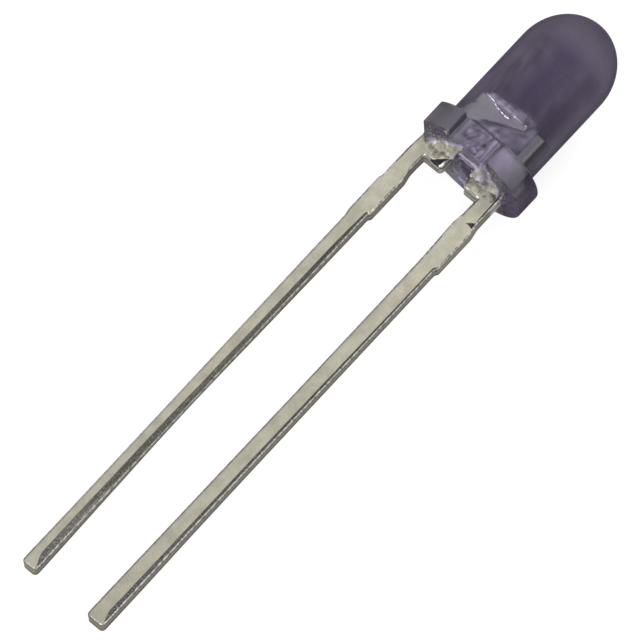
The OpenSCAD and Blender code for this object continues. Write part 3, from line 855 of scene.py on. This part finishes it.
def tinned_alloy(s):
    """Copper alloy sheet, stamped, silver plated inside the body and matte tin plated outside it.

    The eye gets a flat warm grey-beige front with a faint mottle. The stamped edges carry painted light: a burnished
    band painted dark as painted shade, a thin ridge with painted glints, and a torn grey band. The map's u says which
    band, its v the way along the edge.
    """
    material, add = new_material("Matte tin on stamped alloy sheet", s.tin)
    rise, steep, darkening, scar, inward, foot, lift = (
        add("Attribute", attribute_name=name).outputs["Fac"]
        for name in ("rise", "steep", "darkening", "scar", "gate", "foot", "lift"))
    place = add("TexCoord").outputs["Object"]
    edge = add("UVMap", uv_map="edge").outputs["UV"]
    parts = add("SeparateXYZ", links={"Vector": edge})
    mottle, grain, pits, film = (
        add("TexNoise", {"Scale": per_mm(size), "Detail": detail, "Roughness": fine}, {"Vector": place})
        for size, detail, fine in ((0.45, 4.0, 0.6), (0.06, 3.0, 0.6), (0.06, 3.0, 0.75), (0.17, 5.0, 0.65)))
    # Three noises on the map, each stretched its own way: one makes the bands along the edge wander, one cuts streaks
    # across the burnished band, and one breaks the ridge's painted highlight into dashes.
    wander, streaks, dashes = (
        add("TexNoise", {"Scale": 1.0, "Detail": detail, "Roughness": fine},
            {"Vector": add("Mapping", {"Scale": stretch}, {"Vector": edge})})
        for stretch, detail, fine in (((0.0, 9.0, 1.0), 3.0, 0.7), ((14.0, 20.0, 1.0), 3.0, 0.7),
                                      ((0.0, 5.0, 1.0), 4.0, 0.75)))
    # Each of these goes from 0 to 1 between two heights, in mm from the base.
    above, below, end, on_web, over, inside = (
        add("MapRange", {"From Min": start, "From Max": full}, {"Value": rise})
        for start, full in ((-2.95, -2.85), (-1.15, -1.25), (-17.36, -17.3), (-0.62, -0.52), (-1.14, -1.08),
                            (0.0, 0.12)))
    shifted = add("Math", {1: 0.5}, {0: wander}, operation="SUBTRACT")
    moved = add("Math", {1: 0.12}, {0: shifted, 2: parts.outputs["X"]}, operation="MULTIPLY_ADD")
    patchy = add("Math", {1: 0.6}, {0: pits, 2: mottle}, operation="MULTIPLY_ADD")
    front = add("ValToRGB", links={"Fac": patchy}, stops=[(0.66, scaled(s.tin, 0.94)), (0.94, scaled(s.tin, 1.18))])
    scratched = add("ValToRGB", links={"Fac": streaks}, stops=[
        (0.42, scaled(s.burnish_and_shade, 0.45)), (0.56, scaled(s.burnish_and_shade, 0.9)), (0.72, scaled(s.shear, 0.8)),
    ])
    # Where the facet falls steeply it mirrors the dark side of the room, so it is painted lighter there: a painted
    # reflection.
    pale = add("ValToRGB", links={"Fac": streaks}, stops=[
        (0.40, scaled(s.shear, 0.5)), (0.56, scaled(s.shear, 0.85)), (0.68, s.glint),
    ])
    polished = add("Mix", links={0: steep, 6: scratched, 7: pale}, data_type="RGBA")
    dash = add("ValToRGB", links={"Fac": dashes}, stops=[(0.36, s.shear), (0.45, s.tin), (0.53, s.glint)])
    lines = add("ValToRGB", links={"Fac": moved}, stops=[
        (0.00, 0.0), (0.28, 0.0), (0.31, 1.0), (0.40, 1.0), (0.43, 0.0),
    ])
    # Behind the ridge: a dark band, the torn grey band, and painted shade as a dark outline along the back edge.
    flanks = add("ValToRGB", links={"Fac": moved}, stops=[
        (0.35, s.burnish_and_shade), (0.45, s.burnish_and_shade), (0.50, s.shear), (0.78, s.shear), (0.93, s.burnish_and_shade), (1.00, s.burnish_and_shade),
    ])
    behind = add("MapRange", {"From Min": 0.36, "From Max": 0.38}, {"Value": moved})
    plain = add("Mix", links={0: behind, 6: polished, 7: flanks}, data_type="RGBA")
    ridged = add("Mix", links={0: lines, 6: plain, 7: dash}, data_type="RGBA")
    # Beside the cut tie bars the front edge is only nicked: painted glints dot the grey side.
    dots = add("ValToRGB", links={"Fac": wander}, stops=[(0.48, s.shear), (0.53, s.glint)])
    fringe = add("ValToRGB", links={"Fac": moved}, stops=[(0.00, 1.0), (0.38, 1.0), (0.44, 0.0)])
    nicked = add("Mix", {6: tuple(s.shear)}, {0: fringe, 7: dots}, data_type="RGBA")
    stubs = add("Math", links={0: above, 1: below}, operation="MULTIPLY")
    cut = add("Mix", links={0: stubs, 6: ridged, 7: nicked}, data_type="RGBA")
    # The cut end of a leg is tinned like its front.
    bands = add("Mix", links={0: end, 6: front, 7: cut}, data_type="RGBA")
    # Down the legs the tin is darker.
    darkened = add("Mix", {7: grey(0.6)}, {0: darkening, 6: front}, data_type="RGBA", blend_type="MULTIPLY")
    ragged = add("Math", {1: 0.12}, {0: streaks, 2: parts.outputs["X"]}, operation="MULTIPLY_ADD")
    side = add("ValToRGB", links={"Fac": ragged}, stops=[(0.0, 0.0), (0.165, 0.0), (0.195, 1.0)])
    # A flake of tin is missing at the emitter leg's edge: a triangle whose borders the pits make ragged. far runs
    # across it and high runs up it, both from 0 to 1.
    far = add("MapRange", {"From Min": -0.152, "From Max": 0.105}, {"Value": scar}, clamp=False)
    high = add("MapRange", {"From Min": -1.339, "From Max": -1.11}, {"Value": rise}, clamp=False)
    slope = add("Math", links={0: far, 1: high}, operation="SUBTRACT")
    lower = add("Math", links={0: slope, 1: high}, operation="MINIMUM")
    right = add("Math", {0: 1.0}, {1: far}, operation="SUBTRACT")
    inner = add("Math", links={0: lower, 1: right}, operation="MINIMUM")
    jagged = add("Math", {1: 0.9}, {0: pits, 2: inner}, operation="MULTIPLY_ADD")
    flaked = add("MapRange", {"From Min": 0.42, "From Max": 0.47}, {"Value": jagged})
    flake = add("Mix", {7: scaled(s.burnish_and_shade, 0.35)}, {0: flaked, 6: darkened}, data_type="RGBA")
    # The webs' stamped sides carry a painted highlight in front of a dark line, and beige behind it. The slanted
    # corner at the collector web's foot is painted shade.
    shift = add("ValToRGB", links={"Fac": foot}, stops=[(0.61, 0.18), (0.66, 0.0), (0.89, 0.0), (0.93, 0.23)])
    lowered = add("Math", {1: -0.15}, {0: moved}, operation="ADD")
    zone = add("Math", links={0: lowered, 1: shift}, operation="ADD")
    web = add("ValToRGB", links={"Fac": zone}, stops=[
        (0.00, scaled(s.burnish_and_shade, 0.35)), (0.27, scaled(s.burnish_and_shade, 0.35)), (0.31, s.glint), (0.52, s.glint),
        (0.56, s.burnish_and_shade), (0.61, s.burnish_and_shade), (0.65, s.glint), (0.92, s.glint), (1.00, s.tin),
    ])
    webs = add("Mix", links={0: on_web, 6: bands, 7: web}, data_type="RGBA")
    # Painted shade darkens the fold at the right edge of the emitter's leg above the flake.
    fold = add("ValToRGB", links={"Fac": moved}, stops=[(0.13, 0.0), (0.16, 0.8), (0.30, 0.8), (0.34, 0.0)])
    near = add("MapRange", {"From Min": 0.0, "From Max": 0.05}, {"Value": scar})
    where = add("Math", links={0: near, 1: over}, operation="MULTIPLY")
    folded = add("Math", links={0: where, 1: fold}, operation="MULTIPLY")
    creased = add("Mix", {7: scaled(s.burnish_and_shade, 0.4)}, {0: folded, 6: webs}, data_type="RGBA")
    colour = add("Mix", links={0: side, 6: flake, 7: creased}, data_type="RGBA")
    # The tin stops in an uneven line on the webs, lower towards the gate. Above it lies bare silver plating, mottled
    # by the resin film that crept over it.
    height = add("Math", links={0: lift, 1: rise}, operation="ADD")
    border = add("Math", {1: 0.3}, {0: mottle, 2: height}, operation="MULTIPLY_ADD")
    bare = add("MapRange", {"From Min": -0.12, "From Max": -0.06}, {"Value": border})
    stain = add("ValToRGB", links={"Fac": film}, stops=[
        (0.34, scaled(s.tin, 0.25)), (0.43, scaled(s.tin, 0.72)), (0.52, scaled(s.tin, 0.95)),
        (0.62, scaled(s.tin, 1.4)),
    ])
    # On the emitter's web a slanted dark streak parts that film.
    line = add("Math", {1: 2.1, 2: 0.46}, {0: rise}, operation="MULTIPLY_ADD")
    beside = add("Math", links={0: line, 1: scar}, operation="ADD")
    off = add("Math", links={0: beside}, operation="ABSOLUTE")
    parting = add("MapRange", {"From Min": 0.2, "From Max": 0.08, "To Max": 0.7}, {"Value": off})
    stained = add("Mix", {7: scaled(s.burnish_and_shade, 0.5)}, {0: parting, 6: stain}, data_type="RGBA")
    # The post's flanks are painted dark, as painted shade, and the header's edges and bead painted white, as painted
    # highlights.
    shade, dusk = scaled(s.silver, 0.28), scaled(s.silver, 0.5)
    slim = add("ValToRGB", links={"Fac": moved}, stops=[
        (0.00, s.silver), (0.12, s.silver), (0.18, dusk), (0.38, dusk), (0.44, shade), (0.60, shade), (0.68, dusk),
        (0.85, dusk), (1.0, shade),
    ])
    broad = add("ValToRGB", links={"Fac": moved}, stops=[
        (0.00, s.silver), (0.30, s.silver), (0.33, 1.0), (0.41, 1.0), (0.46, scaled(s.silver, 0.9)),
        (0.60, scaled(s.silver, 0.9)), (0.66, scaled(s.silver, 0.6)),
    ])
    which = add("MapRange", {"From Min": 0.68, "From Max": 0.74}, {"Value": inward})
    silver = add("Mix", links={0: which, 6: slim, 7: broad}, data_type="RGBA")
    cover = add("Mix", links={0: inside, 6: stained, 7: silver}, data_type="RGBA")
    facing = add("Math", {0: 1.0}, {1: side}, operation="SUBTRACT")
    filmed = add("Math", links={0: bare, 1: facing}, operation="MULTIPLY")
    covered = add("Math", links={0: filmed, 1: inside}, operation="MAXIMUM")
    plated = add("Mix", links={0: covered, 6: colour, 7: cover}, data_type="RGBA")
    rough = add("ValToRGB", links={"Fac": moved}, stops=[
        (0.00, 0.42), (0.12, 0.42), (0.18, 0.3), (0.32, 0.3), (0.35, 0.16), (0.40, 0.2), (0.47, 0.7), (0.57, 0.7),
        (0.62, 0.48), (1.00, 0.45),
    ])
    ground = add("Math", {1: 0.5}, {0: wander, 2: grain}, operation="MULTIPLY_ADD")
    lumps = add("Math", {1: 6.0}, {0: film}, operation="MULTIPLY")
    tall = add("Math", links={0: lumps, 1: bare}, operation="MULTIPLY")
    sum_up = add("Math", links={0: ground, 1: tall}, operation="ADD")
    bump = add("Bump", {"Strength": 0.35, "Distance": 0.004 * MM}, {"Height": sum_up})
    shader = add("BsdfPrincipled", {"Metallic": 1.0}, {"Base Color": plated, "Roughness": rough, "Normal": bump})
    add("OutputMaterial", links={"Surface": shader})
    return material


def sawn_silicon(s):
    """Monocrystalline silicon, polished on top and diced by a saw.

    The eye gets a dark grey-blue block with faint saw marks down its sides.
    """
    material, add = new_material("Silicon, diced", s.silicon)
    place = add("TexCoord").outputs["Object"]
    saw = add("TexWave", {"Scale": per_mm(0.24), "Distortion": 1.5}, {"Vector": place}, bands_direction="Z")
    colour = add("ValToRGB", links={"Fac": saw.outputs["Fac"]}, stops=[
        (0.0, scaled(s.silicon, 0.8)), (1.0, s.silicon),
    ])
    shader = add("BsdfPrincipled", {"IOR": 3.4, "Roughness": 0.55}, {"Base Color": colour})
    add("OutputMaterial", links={"Surface": shader})
    return material


def silver_film(s):
    """Epoxy filled with silver flakes, dispensed and cured.

    The eye gets a dull, speckled grey rim round the chip's foot.
    """
    material, add = new_material("Silver-filled epoxy, dispensed", s.film)
    place = add("TexCoord").outputs["Object"]
    flakes = add("TexVoronoi", {"Scale": per_mm(0.012)}, {"Vector": place})
    colour = add("ValToRGB", links={"Fac": flakes}, stops=[(0.0, s.film), (0.8, scaled(s.film, 0.6))])
    shader = add("BsdfPrincipled", {"Metallic": 0.6, "Roughness": 0.5}, {"Base Color": colour})
    add("OutputMaterial", links={"Surface": shader})
    return material


def drawn_gold(s):
    """Fine gold wire, drawn and annealed.

    The eye gets a thin warm glint with faint lines left by the die.
    """
    material, add = new_material("Gold wire, drawn", s.gold)
    place = add("TexCoord").outputs["Object"]
    lines = add("TexNoise", {"Scale": per_mm(0.02), "Detail": 2.0}, {"Vector": place})
    rough = add("MapRange", {"To Min": 0.15, "To Max": 0.32}, {"Value": lines})
    shader = add("BsdfPrincipled", {"Base Color": tuple(s.gold), "Metallic": 1.0}, {"Roughness": rough})
    add("OutputMaterial", links={"Surface": shader})
    return material


def white_paper(s):
    """Smooth white card, coated.

    The eye gets a plain white ground that keeps only the part's soft shadow. A little light of its own brings it up
    to white for the camera.
    """
    material, add = new_material("White card, coated", s.paper)
    place = add("TexCoord").outputs["Object"]
    fibre = add("TexNoise", {"Scale": per_mm(3.0), "Detail": 3.0}, {"Vector": place})
    colour = add("ValToRGB", links={"Fac": fibre}, stops=[(0.3, scaled(s.paper, 0.985)), (0.7, s.paper)])
    shader = add("BsdfDiffuse", links={"Color": colour})
    ray = add("LightPath")
    # Light that passes the epoxy meets a floor that glows a little.
    rays = {0: ray.outputs["Is Transmission Ray"], 2: ray.outputs["Is Camera Ray"]}
    through = add("Math", {1: 0.1}, rays, operation="MULTIPLY_ADD")
    power = add("Math", {1: 0.78}, {0: through}, operation="MULTIPLY")
    glow = add("Emission", links={"Strength": power})
    both = add("AddShader", links={0: shader, 1: glow})
    add("OutputMaterial", links={"Surface": both})
    return material


class SENSOR_OT_body(bpy.types.Operator):
    """Moulds the body: base, collar, barrel and dome in one closed surface"""
    bl_idname = "sensor.body"
    bl_label = "Moulded body"

    def execute(self, context):
        s, leads = context.scene.sensor_body, context.scene.sensor_leads
        grid, frost = body_grid(s, leads)
        x, y, z = grid[..., 0], grid[..., 1], grid[..., 2]
        film = crept(x, y, leads)[0] * smooth(-z, -0.03 * MM, 0.0)
        milk_and_painted_light = milk_and_painted_light_share(grid, s, leads)
        edge_shade_mask = edge_shade_mask_at(grid, s) * (1 - film) * smooth(-milk_and_painted_light, -0.5, -0.3)
        values = {"frost": frost + 0.8 * film, "milk_and_painted_light": milk_and_painted_light, "film": film, "edge_shade_mask": edge_shade_mask}
        piece = make_mesh("moulded_body", (laid(grid), ("pole", "pole"), grid[..., :2] / MM, values))
        finish_piece(piece, smoky_epoxy(s), "lens_body")
        return {"FINISHED"}


class SENSOR_OT_leads(bpy.types.Operator):
    """Stamps the collector and the emitter lead out of sheet"""
    bl_idname = "sensor.leads"
    bl_label = "Stamped leads"

    def execute(self, context):
        s = context.scene.sensor_leads
        material = tinned_alloy(s)
        for left, node, name in ((True, "collector_lead", "stamped_collector"),
                                 (False, "emitter_lead", "stamped_emitter")):
            corners = strayed(split(lead_outline(s, left), 0.4 * MM), left)
            wides, falls = FACETS[left]

            def step(x, z, left=left, wides=wides, falls=falls):
                right = x > (-1.35 if left else 1.2) * MM
                down = smooth(-z, 2.85 * MM, 3.0 * MM) * smooth(z, -17.22 * MM, -16.95 * MM)
                wide = np.interp(-z / MM, FACET_DEPTHS, wides)
                fall = np.interp(-z / MM, FACET_DEPTHS, falls)
                head = 0.04 * (z > 1.5 * MM) * (x < -0.7 * MM)
                # The emitter's leg is burnished up to the body.
                upper = (not left) * (x > 1.2 * MM) * (z > -1.05 * MM) * (z < 0)
                back = PLAIN_STEP + down * right * wide + head + 0.03 * upper
                return np.stack([back, down * right * fall], axis=-1) * MM

            shells = [plate_grid(corners, s.sheet, step, lead_gap, 5 if left else 6)]
            if left:
                shells.append(pad_grid(HEADER_TOP * MM, s.sheet / 2))
            parts = [(laid(grid), ("face", "face"), uv, lead_values(grid, left, falls)) for grid, uv in shells]
            finish_piece(make_mesh(name, *parts), material, node)
        return {"FINISHED"}


class SENSOR_OT_chip(bpy.types.Operator):
    """Finishes the chip, its film and its wire, which keep their CAD shapes"""
    bl_idname = "sensor.chip"
    bl_label = "Chip and wire"

    def execute(self, context):
        s = context.scene.sensor_chip
        made = {"sensor_chip": sawn_silicon(s), "die_attach": silver_film(s), "bond_wire": drawn_gold(s)}
        for node, material in made.items():
            piece = bpy.data.objects.get(node)
            if piece is None:
                raise RuntimeError(f"no CAD node {node}")
            piece.data.materials.clear()
            piece.data.materials.append(material)
        return {"FINISHED"}


class SENSOR_OT_stage(bpy.types.Operator):
    """Sets the white floor, the soft light and the camera"""
    bl_idname = "sensor.stage"
    bl_label = "Stage"

    def execute(self, context):
        s = context.scene.sensor_stage
        scene = context.scene
        around = np.linspace(0, 2 * np.pi, FLOOR_SIDES, endpoint=False)
        rims = np.stack([np.cos(around), np.sin(around), 0 * around], axis=-1) * np.array(FLOOR_RADII)[:, None, None]
        inner = (len(FLOOR_RADII) - 1) * FLOOR_SIDES + np.arange(FLOOR_SIDES)
        floor = bpy.data.meshes.new("floor")
        faces = ring_quads(len(FLOOR_RADII), FLOOR_SIDES).tolist() + [inner.tolist()]
        floor.from_pydata(rims.reshape(-1, 3).tolist(), [], faces)
        ground = bpy.data.objects.new("floor", floor)
        ground.data.materials.append(white_paper(s))
        scene.collection.objects.link(ground)

        world = bpy.data.worlds.new("Soft white room")
        scene.world = world
        world.use_nodes = True
        world.node_tree.nodes.clear()
        add = partial(add_node, world.node_tree)
        ray = add("LightPath")
        way = add("TexCoord")
        # The brightest part of the sky stands over the dome side.
        crown = np.array(CROWN) / np.linalg.norm(CROWN)
        towards = add("VectorMath", {1: crown.tolist()}, {0: way.outputs["Generated"]}, operation="DOT_PRODUCT")
        glow = add("ValToRGB", links={"Fac": towards}, stops=[(0.0, 0.42), (0.35, 0.5), (0.7, 0.72), (1.0, 1.0)])
        dim = add("Background", {"Strength": s.sky}, {"Color": glow})
        white = add("Background", {"Color": (1, 1, 1, 1), "Strength": 1.0})
        mixed = add("MixShader", links={0: ray.outputs["Is Camera Ray"], 1: dim, 2: white})
        add("OutputWorld", links={"Surface": mixed})

        def lamp(name, way, away, size, power, mirrored):
            data = bpy.data.lights.new(name, "AREA")
            data.shape, data.energy = "ELLIPSE", power
            data.size, data.size_y = size
            obj = bpy.data.objects.new(name, data)
            obj.visible_glossy = obj.visible_transmission = mirrored
            scene.collection.objects.link(obj)
            z = laid_way(way)
            z = z / np.linalg.norm(z)
            x = np.cross((0.0, 1.0, 0.0), z)
            x /= np.linalg.norm(x)
            obj.matrix_world = placed(x, np.cross(z, x), z, z * away)

        lamp("Large soft lamp", (0.1, -0.95, 0.3), 0.3, (0.42, 0.42), s.lamp, False)
        # A narrow strip lamp on the leads' side: only edges and beads that face the leads mirror it to the camera.
        lamp("Strip lamp", (0.1, -0.75, -0.65), 0.5, (0.08, 0.4), s.spark, True)

        # The camera stands off the notch side of the body, a little below its base. right, up and back are its axes.
        sp, cp = math.sin(s.swing), math.cos(s.swing)
        st, ct = math.sin(s.dip), math.cos(s.dip)
        side = np.array([cp, sp, 0.0])
        top = np.array([sp * st, -cp * st, ct])
        back = laid_way((sp * ct, -cp * ct, -st))
        so, co = math.sin(s.turn), math.cos(s.turn)
        right, up = laid_way(co * side + so * top), laid_way(co * top - so * side)
        aim = (top * AIM_UP - side * AIM_ASIDE) / s.scale * MM
        spot = laid(aim) + back * s.away
        lens = bpy.data.cameras.new("camera")
        lens.sensor_width = FILM_WIDTH
        lens.lens = s.scale * s.away / MM * FILM_WIDTH / PICTURE
        lens.clip_start, lens.clip_end = 0.01, 10.0
        camera = bpy.data.objects.new("camera", lens)
        camera.matrix_world = placed(right, up, back, spot)
        scene.collection.objects.link(camera)
        scene.camera = camera
        scene.view_settings.view_transform = "Standard"
        return {"FINISHED"}


class SENSOR_PT_panel(bpy.types.Panel):
    """Lists the sensor's pieces and their sizes"""
    bl_idname = "SENSOR_PT_panel"
    bl_label = "Photo sensor"
    bl_space_type = "VIEW_3D"
    bl_region_type = "UI"
    bl_category = "Photo sensor"

    def draw(self, context):
        layout = self.layout
        for operator, group in (("sensor.body", "sensor_body"), ("sensor.leads", "sensor_leads"),
                                ("sensor.chip", "sensor_chip"), ("sensor.stage", "sensor_stage")):
            box = layout.box()
            box.operator(operator)
            settings = getattr(context.scene, group)
            for key in settings.bl_rna.properties.keys():
                if key not in ("rna_type", "name"):
                    box.prop(settings, key)


GROUPS = {"sensor_body": SensorBody, "sensor_leads": SensorLeads, "sensor_chip": SensorChip,
          "sensor_stage": SensorStage}
TOOLS = (SENSOR_OT_body, SENSOR_OT_leads, SENSOR_OT_chip, SENSOR_OT_stage, SENSOR_PT_panel)


def register():
    """Adds the settings, the operators and the panel to Blender."""
    for cls in (*GROUPS.values(), *TOOLS):
        bpy.utils.register_class(cls)
    for name, cls in GROUPS.items():
        setattr(bpy.types.Scene, name, PointerProperty(type=cls))


def unregister():
    """Takes them out again."""
    for name in GROUPS:
        delattr(bpy.types.Scene, name)
    for cls in reversed((*GROUPS.values(), *TOOLS)):
        bpy.utils.unregister_class(cls)


def main():
    register()
    bpy.ops.sensor.body()
    bpy.ops.sensor.leads()
    bpy.ops.sensor.chip()
    bpy.ops.sensor.stage()


if __name__ == "__main__":
    main()
